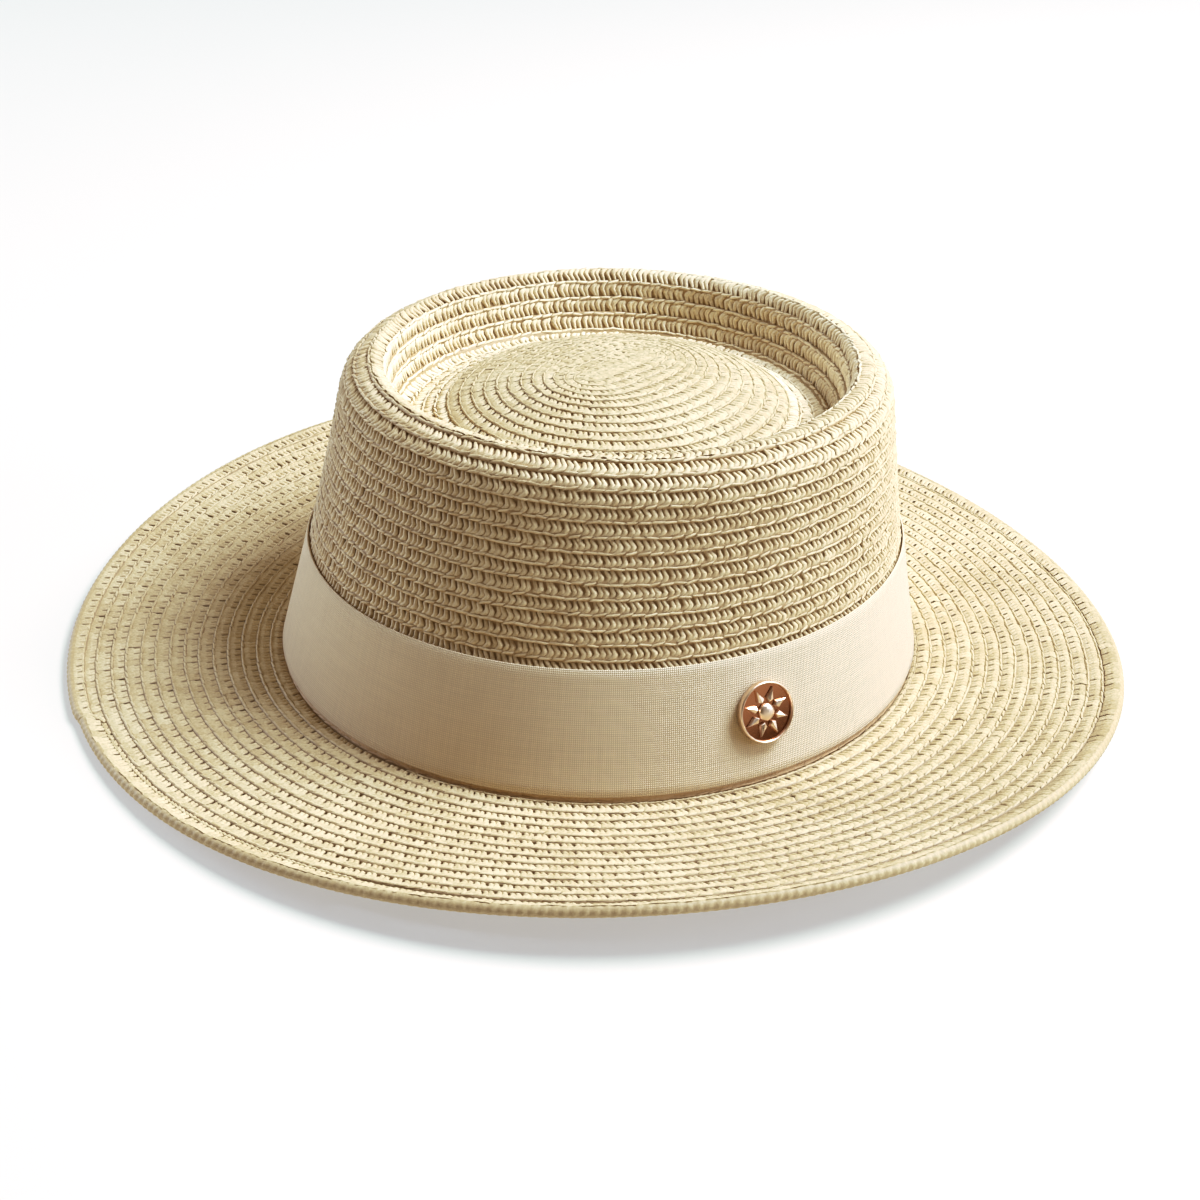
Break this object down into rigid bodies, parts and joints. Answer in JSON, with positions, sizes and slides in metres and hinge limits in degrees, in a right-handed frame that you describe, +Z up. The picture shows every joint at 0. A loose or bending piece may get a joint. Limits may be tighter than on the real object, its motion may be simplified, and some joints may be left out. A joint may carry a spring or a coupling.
{
  "type": "straw beach hat",
  "caption": "Straw beach hat with a telescope crown, a broad gently curled brim, a woven ribbon band and a round metal badge.",
  "frame": {"origin": "middle of the brim's outline, on the surface that the hat rests on", "axes": "+Z up out of the tip of the crown; the hat's length runs along Y, its front faces -Y and the badge is on its +X side"},
  "size_m": [0.3052, 0.3052, 0.0848],
  "materials": {
    "straw": "matte woven straw",
    "brim_straw": "matte woven straw",
    "ribbon": "matte plain-woven ribbon",
    "rose_gold": "polished rose gold plate",
    "pin_steel": "satin"
  },
  "bodies": {
    "root": {"crown": "straw", "brim": "brim_straw", "hat_band": "ribbon", "badge": "rose_gold", "badge_pin": "pin_steel"}
  },
  "joints": []
}
